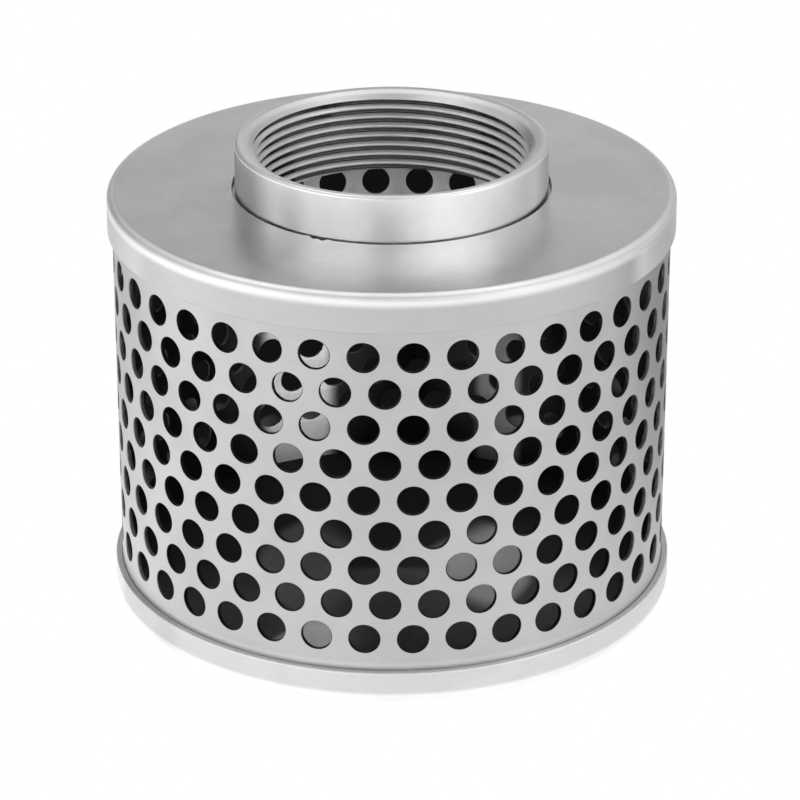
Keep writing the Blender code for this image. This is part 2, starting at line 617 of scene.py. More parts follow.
@dataclass(frozen=True)
class ZincFinish:
    """Satin zinc plate over steel.

    patch_scale and fleck_scale are the noise scales of the stains and flecks, lines and run are
    how close and how long the lines round the axis are, and streakiness is how far they change
    the shade. relief is how deep lines and flecks are.
    """

    name: str
    shade: float
    stained_shade: float
    roughness: float
    roughness_spread: float = 0.03
    relief: float = 1e-6
    patch_scale: float = 38.0
    fleck_scale: float = 900.0
    lines: float = 800.0
    run: float = 9.0
    streakiness: float = 0.015
    cloud_share: float = 0.6
    fleck_share: float = 0.4
    zones: tuple[WearAndPaintedLightZone, ...] = ()
    tint: ClassVar[tuple[float, float, float]] = (1.0, 0.998, 0.99)

    def material(self, effects: Effects) -> bpy.types.Material:
        """Make the finish as a material.

        Args:
            effects: The shared groups.

        Returns:
            A material with a Principled shader.
        """
        material = bpy.data.materials.new(self.name)
        material.use_nodes = True
        bench = NodeBench(material.node_tree)
        shader = material.node_tree.nodes["Principled BSDF"]
        place = bench.add("TexCoord").outputs["Object"]
        around = bench.group(effects.around, Vector=place)
        bloom = bench.group(
            effects.bloom, Vector=place, Patch=self.patch_scale, Fleck=self.fleck_scale
        )
        grain = bench.group(effects.grain, Vector=place, Lines=self.lines, Run=self.run)
        cloud, fleck = bloom.outputs["Cloud"], bloom.outputs["Fleck"]
        line = grain.outputs["Line"]
        gain = bench.ramp(line, 0.25, 0.75, 1.0 - self.streakiness, 1.0 + self.streakiness)
        rough = self._uneven_roughness(bench, cloud, fleck)
        # Each zone multiplies the shade, most of them as painted light or painted shade, and adds
        # roughness.
        for zone in self.zones:
            share = zone.mask(bench, around, cloud)
            change = bench.math("ADD", bench.math("MULTIPLY", share, zone.gain - 1.0), 1.0)
            gain = bench.math("MULTIPLY", gain, change)
            rough = bench.math("ADD", rough, bench.math("MULTIPLY", share, zone.roughness))
        plate = bench.mix(cloud, self.tinted(self.shade), self.tinted(self.stained_shade))
        plate_with_painted_light = bench.mix(1.0, plate, gain, "MULTIPLY")
        bench.fill(shader.inputs["Base Color"], self.covered(bench, around, plate_with_painted_light))
        bench.fill(shader.inputs["Roughness"], rough)
        bench.fill(shader.inputs["Metallic"], 1.0)
        lined = bench.add("Bump", Strength=1.0, Distance=self.relief, Height=line)
        flecked = bench.add(
            "Bump", Strength=1.0, Distance=self.relief, Height=fleck,
            Normal=lined.outputs["Normal"],
        )
        bench.fill(shader.inputs["Normal"], flecked.outputs["Normal"])
        return material

    def _uneven_roughness(self, bench: NodeBench, cloud: Socket, fleck: Socket) -> Socket:
        """Give the roughness, which rises and falls with the stains and flecks.

        Args:
            bench: The material's node bench.
            cloud: The stains.
            fleck: The flecks.

        Returns:
            The roughness before wear.
        """
        stains = bench.math("MULTIPLY", cloud, self.cloud_share)
        uneven = bench.math("ADD", stains, bench.math("MULTIPLY", fleck, self.fleck_share))
        least = self.roughness - self.roughness_spread
        return bench.ramp(uneven, 0.0, 1.0, least, self.roughness + self.roughness_spread)

    def covered(self, bench: NodeBench, around: bpy.types.Node, colour: Socket) -> Socket:
        """Give the colour, which on an outer face is the plate's own all over."""
        return colour

    @classmethod
    def tinted(cls, shade: float) -> tuple[float, ...]:
        """Give the faintly warm grey of zinc at a brightness."""
        return tuple(shade * share for share in cls.tint) + (1.0,)


@dataclass(frozen=True)
class PaintedGleam:
    """An upright band inside the can where the plate is painted bright, as painted light.

    turn and half_width are in degrees, share is how well it is covered, foot and top are the
    heights that it reaches, inner and outer are its distances from the axis, and fade and edge
    are how far these fade out.
    """

    turn: float
    half_width: float
    share: float
    top: float
    foot: float = -0.01
    fade: float = 0.012
    inner: float = 0.0
    outer: float = FAR
    edge: float = 0.006

    def mask(self, bench: NodeBench, around: bpy.types.Node) -> Socket:
        """Give how well the painted gleam covers a place.

        Args:
            bench: The material's node bench.
            around: The group that gives Radius, Turn and Height.

        Returns:
            A value from 0 to share.
        """
        side = bench.side(around.outputs["Turn"], self.turn, self.half_width)
        upright = bench.band(around.outputs["Height"], self.foot, self.top - self.fade, self.fade)
        cover = bench.math("MULTIPLY", self.share, bench.math("MULTIPLY", side, upright))
        if self.inner > 0.0 or self.outer < FAR:
            ring = bench.band(around.outputs["Radius"], self.inner, self.outer, self.edge)
            cover = bench.math("MULTIPLY", cover, ring)
        return cover


@dataclass(frozen=True)
class PaintedShadeInsideFinish(ZincFinish):
    """Zinc plate inside the can, painted dark as shade except where painted gleams brighten it."""

    roughness_spread: float = 0.05
    painted_dark_shade: float = 0.03
    painted_gleams: tuple[PaintedGleam, ...] = ()

    def covered(self, bench: NodeBench, around: bpy.types.Node, colour: Socket) -> Socket:
        """Paint the dark shade over the plate, away from the painted gleams.

        Args:
            bench: The material's node bench.
            around: The group that gives Radius, Turn and Height.
            colour: The plate's colour.

        Returns:
            The colour to use.
        """
        reach = 0.0
        for painted_gleam in self.painted_gleams:
            reach = bench.math("MAXIMUM", reach, painted_gleam.mask(bench, around))
        return bench.mix(reach, self.tinted(self.painted_dark_shade), colour)


CAP_PLATE = ZincFinish(
    "plated_pressed_cap", shade=0.84, stained_shade=0.79, roughness=0.36, streakiness=0.02,
    zones=(
        # Painted shade darkens the skirt, broken up by the stains.
        WearAndPaintedLightZone(0.12, 0.1316, 0.56, inner=0.0885, soft=0.0024, broken=0.12),
        # Painted light brightens the skirt at its left and right sides.
        WearAndPaintedLightZone(0.12, 0.1316, 1.75, inner=0.0885, soft=0.0024, turn=70.0, half_width=17.0),
        WearAndPaintedLightZone(0.12, 0.1316, 1.25, inner=0.0885, soft=0.0024, turn=-75.0, half_width=21.0),
        # Painted highlight along the cap's rounded corner, with more roughness.
        WearAndPaintedLightZone(0.1344, 0.1355, 1.04, inner=0.0872, soft=0.0003, roughness=0.2),
        WearAndPaintedLightZone(0.1358, 0.1367, 1.19, inner=0.0872, soft=0.0003, roughness=0.18),
    ),
)
CUP_PLATE = ZincFinish(
    "plated_pressed_cup", shade=0.625, stained_shade=0.59, roughness=0.36,
    zones=(
        # Painted highlight round the cup's bottom edge.
        WearAndPaintedLightZone(-0.001, 0.0032, 1.38, inner=0.084, soft=0.0016),
        # A darker band down the cup's left side.
        WearAndPaintedLightZone(0.0, 0.0112, 0.85, inner=0.0885, turn=-61.0, half_width=15.0),
        # Painted highlight along the top of the lip, with more roughness.
        WearAndPaintedLightZone(0.0109, 0.0115, 1.3, inner=0.0876, soft=0.0003, roughness=0.2),
    ),
)
SCREEN_PLATE = ZincFinish(
    "plated_punched_sheet", shade=0.49, stained_shade=0.455, roughness=0.38,
    # The zone paints light on the screen's foot, just above the lip.
    zones=(WearAndPaintedLightZone(0.009, 0.0125, 1.2, soft=0.002),),
)
TURNED_PLATE = ZincFinish(
    "plated_turned_steel", shade=0.89, stained_shade=0.84, roughness=0.315, roughness_spread=0.025,
    zones=(
        # Painted shade, almost black, deep in the thread's grooves, broken up by the stains.
        WearAndPaintedLightZone(0.12, 0.149, 0.02, inner=0.0438, outer=0.046, broken=0.15),
        WearAndPaintedLightZone(0.12, 0.149, 0.98, outer=0.0437, roughness=0.2),
        # Painted shade in the joint with the cap, a thin dark line round the coupling's foot,
        # broken up by the stains.
        WearAndPaintedLightZone(0.13, 0.13665, 0.4, inner=0.0488, soft=0.0002, broken=0.6),
        # Painted highlight round the top of the rim, with more roughness.
        WearAndPaintedLightZone(0.1506, 0.1516, 1.1, roughness=0.15),
    ),
)
PAINTED_SHADE_INSIDE = PaintedShadeInsideFinish(
    "painted_shade_inside", shade=0.75, stained_shade=0.65, roughness=0.9,
    # Painted light high up inside, near the mouth, where the plate is also smoother.
    zones=(WearAndPaintedLightZone(0.09, 0.14, 1.25, soft=0.01, roughness=-0.38),),
    painted_gleams=(
        # Painted reflections low on the far wall, seen through the front holes.
        PaintedGleam(-158.0, 10.0, 0.9, 0.062),
        PaintedGleam(155.0, 6.5, 0.35, 0.06),
        # Painted light on the upper far wall, seen through the mouth.
        PaintedGleam(180.0, 42.0, 1.0, 0.15, foot=0.092),
        PaintedGleam(-180.0, 42.0, 1.0, 0.15, foot=0.092),
    ),
)
PUNCHED_EDGE_PAINTED_SHADE = PaintedShadeInsideFinish(
    "punched_edge_painted_shade", shade=0.4, stained_shade=0.3, roughness=0.5,
    # Painted highlights on the hole walls at both flanks; elsewhere the walls are painted dark.
    painted_gleams=(PaintedGleam(-77.0, 24.0, 0.8, 0.15), PaintedGleam(77.0, 24.0, 0.8, 0.15)),
)
PAINTED_SHADE_BASE = PaintedShadeInsideFinish(
    "painted_shade_on_the_base", shade=0.75, stained_shade=0.65, roughness=0.9, painted_dark_shade=0.05,
    painted_gleams=(
        # Painted patches of light on the floor inside the cup.
        PaintedGleam(90.0, 54.0, 0.85, 0.02, inner=0.02, outer=0.043),
        PaintedGleam(-27.0, 12.0, 1.0, 0.02, inner=0.045, outer=0.065),
        PaintedGleam(-85.0, 70.0, 0.35, 0.02, inner=0.02, outer=0.042),
        # Painted light that fades towards the back, so that the base is darker there.
        PaintedGleam(0.0, 100.0, 0.17, 0.02),
    ),
)


@dataclass
class Heights:
    """Where the frame puts the pieces, from their packed boxes."""

    floor: float = field(default_factory=lambda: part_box("bottom_cap")[0].z)
    lip_top: float = field(default_factory=lambda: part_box("bottom_cap")[1].z)
    screen_foot: float = field(default_factory=lambda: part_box("screen")[0].z)
    screen_top: float = field(default_factory=lambda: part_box("screen")[1].z)
    skirt_edge: float = field(default_factory=lambda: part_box("top_cap")[0].z)
    cap_top: float = field(default_factory=lambda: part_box("top_cap")[1].z)
    coupling_foot: float = field(default_factory=lambda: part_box("coupling")[0].z)
    rim: float = field(default_factory=lambda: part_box("coupling")[1].z)


@dataclass
class Piece:
    """A finished mesh that stands for a node of the frame."""

    heights: Heights
    node: ClassVar[str]
    slot: ClassVar[Slot]
    crease: ClassVar[float] = math.pi

    def region(self, body: bpy.types.Object, face: bpy.types.MeshPolygon) -> Region:
        """Say which region a face is in, where a piece has more than its outside."""
        return Region.OUTSIDE

    def seat(self, body: bpy.types.Object, *finishes: bpy.types.Material) -> bpy.types.Object:
        """Dress a finished mesh, hand it to the frame and report it.

        Args:
            body: The finished object.
            finishes: The materials of its regions, in their order.

        Returns:
            The same object.
        """
        for finish in finishes:
            body.data.materials.append(finish)
        for face in body.data.polygons:
            face.material_index = self.region(body, face).value
        Bench.even_normals(body, self.crease)
        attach(body, BODY)
        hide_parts(self.node)
        triangles = sum(len(face.vertices) - 2 for face in body.data.polygons)
        log.info("%s stands for %s with %d triangles", body.name, self.node, triangles)
        return body


@dataclass
class ThreadedCoupling(Piece):
    """The turned ring with a right-hand internal pipe thread.

    The tap cuts the bore to size too, from a blank that is narrower by tapping_allowance. It
    starts tap_lead pitches under the ring, and foot_share is the share of its crest's width that
    is left out when the corners of the groove are picked.
    """

    node: ClassVar[str] = "coupling"
    slot: ClassVar[Slot] = Slot.COUPLING
    crease: ClassVar[float] = math.radians(40.0)
    outer_radius: float = 0.04915
    bore_radius: float = 0.0423
    rim_land: float = 0.0021
    rim_rounding: float = 0.0012
    land_break: float = 0.0008
    mouth_depth: float = 0.0024
    flange_radius: float = 0.05445
    flange_thickness: float = 0.003
    flange_top_drop: float = 0.0015
    edge_break: float = 0.0004
    thread_pitch: float = 0.003175
    thread_root_radius: float = 0.0441
    thread_rounding: float = 0.00022
    thread_start: float = math.radians(5.0)
    thread_steps: int = 128
    groove_mouth: float = 0.00278
    groove_root: float = 0.0007
    tapping_allowance: float = 0.0005
    tap_lead: float = 1.5
    foot_share: float = 0.6

    def build(self, finish: bpy.types.Material) -> bpy.types.Object:
        """Turn the ring, cut its thread and dress it.

        Args:
            finish: The coupling's material.

        Returns:
            The finished coupling.
        """
        body = Lathe().turn("coupling_turned", self._outline())
        tap = self._tap()
        Bench.apply(body, "BOOLEAN", operation="DIFFERENCE", solver="EXACT", object=tap)
        bpy.data.objects.remove(tap, do_unlink=True)
        Bench.edit(body)
        Bench.close_up()
        return self.seat(body, finish)

    def _outline(self) -> list[Corner]:
        """Draw the ring's section.

        Returns:
            The corners, down the outer side and up the bore, which is still too narrow.
        """
        rim = self.heights.rim
        foot = self.heights.coupling_foot
        flange_top = self.heights.cap_top - self.flange_top_drop
        flange_foot = flange_top - self.flange_thickness
        mouth_radius = self.outer_radius - self.rim_land
        blank_radius = self.bore_radius - self.tapping_allowance
        slope = self.mouth_depth / (mouth_radius - self.bore_radius)
        blank_depth = (mouth_radius - blank_radius) * slope
        return [
            Corner(mouth_radius, rim, self.land_break, 4),
            Corner(self.outer_radius, rim, self.rim_rounding, 6),
            Corner(self.outer_radius, flange_top),
            Corner(self.flange_radius, flange_top, self.edge_break, 2),
            Corner(self.flange_radius, flange_foot, self.edge_break, 2),
            Corner(self.outer_radius, flange_foot),
            Corner(self.outer_radius, foot, self.edge_break, 2),
            Corner(blank_radius, foot),
            Corner(blank_radius, rim - blank_depth),
        ]

    def _tap(self) -> bpy.types.Object:
        """Make a closed screw of the thread's shape, longer than the bore at both ends.

        Returns:
            The screw, to be cut out of the ring.
        """
        low = self.heights.coupling_foot - self.tap_lead * self.thread_pitch
        turns = math.ceil((self.heights.rim - low) / self.thread_pitch) + 1
        tap = self._groove(low)
        Bench.apply(
            tap, "SCREW", axis="Z", angle=FULL_TURN, screw_offset=self.thread_pitch,
            iterations=turns, steps=self.thread_steps, render_steps=self.thread_steps,
            use_merge_vertices=False,
        )
        Bench.edit(tap)
        Bench.weld(PLACE_TOLERANCE)
        middle = low + (turns + 1) * self.thread_pitch / 2.0
        for upper in (False, True):
            bpy.ops.mesh.select_mode(type="EDGE")
            bpy.ops.mesh.select_all(action="DESELECT")
            Bench.pick_edges(
                tap, lambda edge: edge.is_boundary and (edge.verts[0].co.z > middle) == upper
            )
            Bench.extrude()
            bpy.ops.mesh.merge(type="CENTER")
        Bench.close_up()
        return tap

    def _groove(self, low: float) -> bpy.types.Object:
        """Draw one pitch of the tap's side, a crest and a groove with rounded corners.

        Args:
            low: The height that the pitch starts at.

        Returns:
            A line of edges, turned to where the thread starts.
        """
        crest = self.thread_pitch - self.groove_mouth
        flank = (self.groove_mouth - self.groove_root) / 2.0
        depth = self.thread_root_radius - self.bore_radius
        corners_end = low + self.thread_pitch - self.foot_share * crest
        Bench.clear()
        bpy.ops.mesh.primitive_plane_add(
            size=crest, location=(self.bore_radius, 0.0, low), rotation=(0.0, QUARTER_TURN, 0.0)
        )
        tap = Bench.added("tap")
        Bench.edit(tap)
        Bench.pick_vertices(tap, lambda co: co.y > 0.0)
        bpy.ops.mesh.delete(type="VERT")
        bpy.ops.mesh.select_all(action="SELECT")
        bpy.ops.transform.translate(value=(0.0, crest / 2.0, 0.0))
        Bench.pick_vertices(tap, lambda co: co.z > low)
        Bench.extrude(x=depth, z=flank)
        Bench.extrude(z=self.groove_root)
        Bench.extrude(x=-depth, z=flank)
        Bench.pick_vertices(tap, lambda co: low < co.z < corners_end)
        bpy.ops.mesh.bevel(offset=self.thread_rounding, segments=2, affect="VERTICES")
        bpy.ops.object.mode_set(mode="OBJECT")
        tap.rotation_euler.z = self.thread_start
        Bench.settle(tap)
        return tap


@dataclass
class TopCap(Piece):
    """The pressed cap, with a round hole for the coupling and a skirt over the screen.

    The edge of the hole is torn a little at nick_turn. Each of nick_moves says how many steps
    from there a vertex lies, and how far it is moved outwards and up.
    """

    node: ClassVar[str] = "top_cap"
    slot: ClassVar[Slot] = Slot.CAPS
    outer_radius: float = field(default_factory=lambda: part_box("top_cap")[1].x)
    sheet: float = 0.0012
    corner_radius: float = 0.0026
    neck_radius: float = 0.05005
    edge_break: float = 0.0003
    nick_turn: float = math.radians(-26.2)
    nick_step: float = math.radians(1.875)
    nick_moves: tuple[tuple[int, float, float], ...] = (
        (-2, -0.0003, 0.0002), (-1, 0.0005, -0.0002), (0, 0.0002, -0.0001),
        (1, 0.0006, -0.0003), (2, -0.0002, 0.0001),
    )

    def build(self, finish: bpy.types.Material, inside: bpy.types.Material) -> bpy.types.Object:
        """Press the cap and dress it.

        Args:
            finish: The material of the outside.
            inside: The material of the underside.

        Returns:
            The finished cap.
        """
        body = Lathe().turn("top_cap_pressed", self._outline())
        self._nick(body)
        return self.seat(body, finish, inside)

    def region(self, body: bpy.types.Object, face: bpy.types.MeshPolygon) -> Region:
        """Say whether a face is on the cap's underside.

        Args:
            body: The finished cap, which is not used.
            face: One of its faces.

        Returns:
            INSIDE under the plate and within the skirt, and OUTSIDE elsewhere.
        """
        below = face.center.z < self.heights.cap_top - self.sheet + PLACE_TOLERANCE
        within = polar(face.center) < self.outer_radius - self.sheet
        return Region.INSIDE if below and within else Region.OUTSIDE

    def _nick(self, body: bpy.types.Object) -> None:
        """Tear the edge of the hole a little, as the photograph shows at its front left.

        Args:
            body: The pressed cap.
        """
        edge_end = self.neck_radius + self.edge_break + PLACE_TOLERANCE
        edge_foot = self.heights.cap_top - self.edge_break - PLACE_TOLERANCE
        Bench.edit(body)
        for place, outwards, up in self.nick_moves:
            turn = self.nick_turn + place * self.nick_step
            bpy.ops.mesh.select_all(action="DESELECT")
            Bench.pick_vertices(
                body,
                lambda co: polar(co) < edge_end
                and co.z > edge_foot
                and abs(math.atan2(co.x, -co.y) - turn) < self.nick_step / 2.0,
            )
            bpy.ops.transform.translate(value=towards(turn) * outwards + Vector((0.0, 0.0, up)))
        bpy.ops.object.mode_set(mode="OBJECT")

    def _outline(self) -> list[Corner]:
        """Draw the cap's section.

        Returns:
            The corners, out along the top, down the skirt and back underneath.
        """
        top, skirt_edge = self.heights.cap_top, self.heights.skirt_edge
        inner_radius = self.outer_radius - self.sheet
        return [
            Corner(self.neck_radius, top, self.edge_break, 2),
            Corner(self.outer_radius, top, self.corner_radius, 8),
            Corner(self.outer_radius, skirt_edge, self.edge_break, 2),
            Corner(inner_radius, skirt_edge, self.edge_break, 2),
            Corner(inner_radius, top - self.sheet, self.corner_radius - self.sheet, 6),
            Corner(self.neck_radius, top - self.sheet),
        ]


@dataclass
class BottomCap(Piece):
    """The pressed cup that the screen stands in, with a lip close round it."""

    node: ClassVar[str] = "bottom_cap"
    slot: ClassVar[Slot] = Slot.CAPS
    outer_radius: float = field(default_factory=lambda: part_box("bottom_cap")[1].x)
    sheet: float = 0.00195
    corner_radius: float = 0.0042
    edge_break: float = 0.0005
    inner_edge_break: float = 0.0001
    least_upward: float = 0.1

    def build(self, finish: bpy.types.Material, inside: bpy.types.Material) -> bpy.types.Object:
        """Press the cup and dress it.

        Args:
            finish: The material of the outside.
            inside: The material of the floor inside.

        Returns:
            The finished cup.
        """
        body = Lathe().turn("bottom_cap_pressed", self._outline())
        return self.seat(body, finish, inside)

    def region(self, body: bpy.types.Object, face: bpy.types.MeshPolygon) -> Region:
        """Say whether a face is on the floor inside the cup.

        Args:
            body: The finished cup, which is not used.
            face: One of its faces.

        Returns:
            INSIDE where the face looks up from within the lip, and OUTSIDE elsewhere.
        """
        within = polar(face.center) < self.outer_radius - self.sheet - PLACE_TOLERANCE
        return Region.INSIDE if within and face.normal.z > self.least_upward else Region.OUTSIDE

    def _outline(self) -> list[Corner]:
        """Draw the cup's section.

        Returns:
            The corners, from the floor inside out over the lip and back underneath.
        """
        floor, lip_top = self.heights.floor, self.heights.lip_top
        inner_radius = self.outer_radius - self.sheet
        return [
            Corner(0.0, floor + self.sheet),
            Corner(inner_radius, floor + self.sheet, self.corner_radius - self.sheet, 6),
            Corner(inner_radius, lip_top, self.inner_edge_break, 2),
            Corner(self.outer_radius, lip_top, self.edge_break, 6),
            Corner(self.outer_radius, floor, self.corner_radius, 8),
            Corner(0.0, floor),
        ]


@dataclass
class PunchedScreen(Piece):
    """The punched strip, rolled into a tube.

    Each hole has its own field of sheet, whose outline is cut into edge_steps along the strip and
    side_steps across it. Every second row is shifted by stagger_steps of the first.
    """

    node: ClassVar[str] = "screen"
    slot: ClassVar[Slot] = Slot.SCREEN
    radius: float = 0.0878
    sheet: float = 0.0012
    hole_diameter: float = 0.0095
    holes_per_row: int = 37
    rows: int = 9
    row_spacing: float = 0.01172
    top_row_drop: float = 0.0084
    first_hole_angle: float = math.radians(-5.4)
    edge_steps: int = 7
    side_steps: int = 9
    stagger_steps: int = 3
    roll_over: float = 0.00022
    square_corner: float = math.radians(60.0)

    @property
    def pitch(self) -> float:
        """The distance between two holes of a row, along the strip."""
        return FULL_TURN * self.radius / self.holes_per_row

    @property
    def top_row(self) -> float:
        """The height of the first row's centres."""
        return self.heights.skirt_edge - self.top_row_drop

    def build(
        self, finish: bpy.types.Material, inside: bpy.types.Material, cut: bpy.types.Material
    ) -> bpy.types.Object:
        """Punch the strip, roll it, give it its thickness and dress it.

        Args:
            finish: The material of the outer face.
            inside: The material of the inner face.
            cut: The material of the holes' walls.

        Returns:
            The finished screen.
        """
        body = self._strip(self._first_row())
        self._close_margins(body)
        self._roll(body)
        Bench.apply(body, "SOLIDIFY", thickness=self.sheet, offset=-1.0, use_even_offset=True)
        self._soften_holes(body)
        return self.seat(body, finish, inside, cut)

    def region(self, body: bpy.types.Object, face: bpy.types.MeshPolygon) -> Region:
        """Say whether a face is on the outer side, on the inner side or in a hole's wall.

        Args:
            body: The finished screen.
            face: One of its faces.

        Returns:
            The face's region.
        """
        spread = [polar(body.data.vertices[index].co) for index in face.vertices]
        if max(spread) < self.radius - self.sheet + PLACE_TOLERANCE:
            return Region.INSIDE
        return Region.CUT if min(spread) < self.radius - PLACE_TOLERANCE else Region.OUTSIDE

    def _first_row(self) -> bpy.types.Object:
        """Make one field of sheet with its hole and repeat it along the first row.

        Returns:
            The first row, flat.
        """
        centre = self.radius * self.first_hole_angle - (self.holes_per_row // 2) * self.pitch
        place = (centre, 0.0, self.top_row)
        upright = (QUARTER_TURN, 0.0, 0.0)
        Bench.clear()
        bpy.ops.mesh.primitive_grid_add(
            x_subdivisions=self.edge_steps, y_subdivisions=self.side_steps, size=1.0,
            location=place, rotation=upright,
        )
        bpy.context.object.scale = (self.pitch, self.row_spacing, 1.0)
        body = Bench.added("screen_punched")
        Bench.edit(body)
        bpy.ops.mesh.select_all(action="SELECT")
        bpy.ops.mesh.region_to_loop()
        bpy.ops.mesh.select_mode(type="VERT")
        bpy.ops.mesh.select_all(action="INVERT")
        bpy.ops.mesh.delete(type="VERT")
        bpy.ops.mesh.primitive_circle_add(
            vertices=2 * (self.edge_steps + self.side_steps), radius=self.hole_diameter / 2.0,
            location=place, rotation=upright,
        )
        bpy.ops.mesh.select_all(action="SELECT")
        bpy.ops.mesh.bridge_edge_loops()
        bpy.ops.object.mode_set(mode="OBJECT")
        Bench.apply(
            body, "ARRAY", count=self.holes_per_row, use_relative_offset=False,
            use_constant_offset=True, constant_offset_displace=(self.pitch, 0.0, 0.0),
        )
        return body

    def _strip(self, first: bpy.types.Object) -> bpy.types.Object:
        """Copy the first row down the strip, each second row shifted, and join the rows.

        Args:
            first: The first row.

        Returns:
            The whole strip, flat.
        """
        rows = [first]
        shift = self.stagger_steps * self.pitch / self.edge_steps
        for row in range(1, self.rows):
            Bench.take(first)
            bpy.ops.object.duplicate()
            aside = shift if row % 2 else 0.0
            bpy.ops.transform.translate(value=(aside, 0.0, -row * self.row_spacing))
            rows.append(bpy.context.object)
        Bench.take(first)
        for row in rows:
            row.select_set(True)
        bpy.ops.object.join()
        Bench.settle(first)
        Bench.edit(first)
        Bench.close_up()
        return first

    def _close_margins(self, body: bpy.types.Object) -> None:
        """Draw the plain margins above the first row and below the last one.

        Args:
            body: The flat strip.
        """
        top = self.top_row + self.row_spacing / 2.0
        bottom = self.top_row - (self.rows - 0.5) * self.row_spacing
        for start, end in ((top, self.heights.screen_top), (bottom, self.heights.screen_foot)):
            Bench.edit(body, "EDGE")
            Bench.pick_edges(
                body,
                lambda edge: all(abs(tip.co.z - start) < PLACE_TOLERANCE for tip in edge.verts),
            )
            Bench.extrude(z=end - start)
            bpy.ops.object.mode_set(mode="OBJECT")
        Bench.edit(body)
        Bench.close_up()

    def _roll(self, body: bpy.types.Object) -> None:
        """Bend the strip into a tube round the axis and weld its ends.

        Args:
            body: The flat strip.
        """
        along = [vertex.co.x for vertex in body.data.vertices]
        turn = (max(along) - min(along)) / self.radius
        Bench.apply(body, "SIMPLE_DEFORM", deform_method="BEND", deform_axis="Z", angle=turn)
        body.location.y = -self.radius
        Bench.settle(body)
        Bench.edit(body)
        Bench.close_up(PLACE_TOLERANCE)

    def _soften_holes(self, body: bpy.types.Object) -> None:
        """Round the edge that the punch drew in, on the outer face of each hole.

        Args:
            body: The rolled screen, with its thickness.
        """
        Bench.edit(body, "EDGE")
        Bench.pick_edges(body, self._is_outer_corner)
        bpy.ops.mesh.bevel(offset=self.roll_over, segments=2, affect="EDGES")
        Bench.close_up()

    def _is_outer_corner(self, edge: bmesh.types.BMEdge) -> bool:
        """Say whether two faces meet squarely at an edge on the outer face."""
        outside = all(abs(polar(tip.co) - self.radius) < PLACE_TOLERANCE for tip in edge.verts)
        return outside and len(edge.link_faces) == 2 and edge.calc_face_angle() > self.square_corner


def hung(name: str, kind: str) -> bpy.types.Object:
    """Add a lamp to the scene, to be placed and aimed.

    Args:
        name: The lamp's name.
        kind: The light's type, in Blender's capitals.

    Returns:
        The lamp.
    """
    lamp = bpy.data.objects.new(name, bpy.data.lights.new(name, kind))
    bpy.context.scene.collection.objects.link(lamp)
    return lamp


@dataclass(frozen=True)
class SoftLight:
    """A wide soft light far off, which the metal reflects.

    turn, lift above the floor and width across are in degrees, and level is how bright it looks,
    where 1 is white.
    """

    turn: float
    lift: float
    width: float
    level: float

    def hang(self, index: int) -> None:
        """Put the light up.

        Args:
            index: The light's place in the list, for its name.
        """
        lamp = hung(f"soft_light_{index:02d}", "SUN")
        lamp.data.angle = math.radians(self.width)
        lamp.data.energy = self.level * math.pi * math.sin(lamp.data.angle / 2.0) ** 2
        way = towards(math.radians(self.turn), math.radians(self.lift))
        lamp.rotation_euler = way.to_track_quat("Z", "Y").to_euler()
        lamp.visible_diffuse = False


@dataclass(frozen=True)
class InsideLamp:
    """A small spot lamp inside the can, for the plate that gleams behind the holes.

    place and aim are points, cone is in degrees and power is in watts.
    """

    place: tuple[float, float, float]
    aim: tuple[float, float, float]
    cone: float
    power: float
    radius: float = 0.004
    blend: float = 0.8

    def hang(self, index: int) -> None:
        """Put the lamp up.

        Args:
            index: The lamp's place in the list, for its name.
        """
        lamp = hung(f"inside_lamp_{index:02d}", "SPOT")
        lamp.data.energy = self.power
        lamp.data.spot_size = math.radians(self.cone)
        lamp.data.spot_blend = self.blend
        lamp.data.shadow_soft_size = self.radius
        lamp.location = self.place
        back = Vector(self.place) - Vector(self.aim)
        lamp.rotation_euler = back.to_track_quat("Z", "Y").to_euler()
        lamp.visible_diffuse = False
        lamp.visible_camera = False


SOFT_LIGHTS = (
    SoftLight(-180.0, 6.0, 30.0, 0.81),
    SoftLight(-90.0, 6.0, 30.0, 1.04),
    SoftLight(-60.0, 6.0, 30.0, 2.26),
    SoftLight(-30.0, 6.0, 30.0, 1.91),
    SoftLight(60.0, 6.0, 30.0, 2.72),
    SoftLight(120.0, 6.0, 30.0, 0.715),
    SoftLight(-180.0, 26.0, 24.0, 0.265),
    SoftLight(-160.0, 26.0, 24.0, 0.09),
    SoftLight(-100.0, 26.0, 24.0, 0.69),
    SoftLight(-46.0, 26.0, 18.0, 1.0),
    SoftLight(-20.0, 26.0, 24.0, 0.735),
    SoftLight(0.0, 26.0, 24.0, 0.74),
    SoftLight(20.0, 26.0, 24.0, 1.53),
    SoftLight(40.0, 26.0, 24.0, 1.87),
    SoftLight(80.0, 26.0, 24.0, 1.05),
    SoftLight(100.0, 26.0, 24.0, 0.885),
    SoftLight(132.0, 26.0, 20.0, 0.75),
    SoftLight(160.0, 26.0, 24.0, 0.4),
    SoftLight(-143.0, 33.0, 18.0, 0.5),
    SoftLight(-60.0, 47.0, 20.0, 0.4),
    SoftLight(60.0, 47.0, 20.0, 0.4),
    SoftLight(-135.0, 47.0, 36.0, 0.44),
    SoftLight(135.0, 47.0, 36.0, 0.545),
    SoftLight(-180.0, 68.0, 36.0, 0.14),
    SoftLight(-90.0, 68.0, 36.0, 2.235),
    SoftLight(90.0, 68.0, 36.0, 2.13),
)
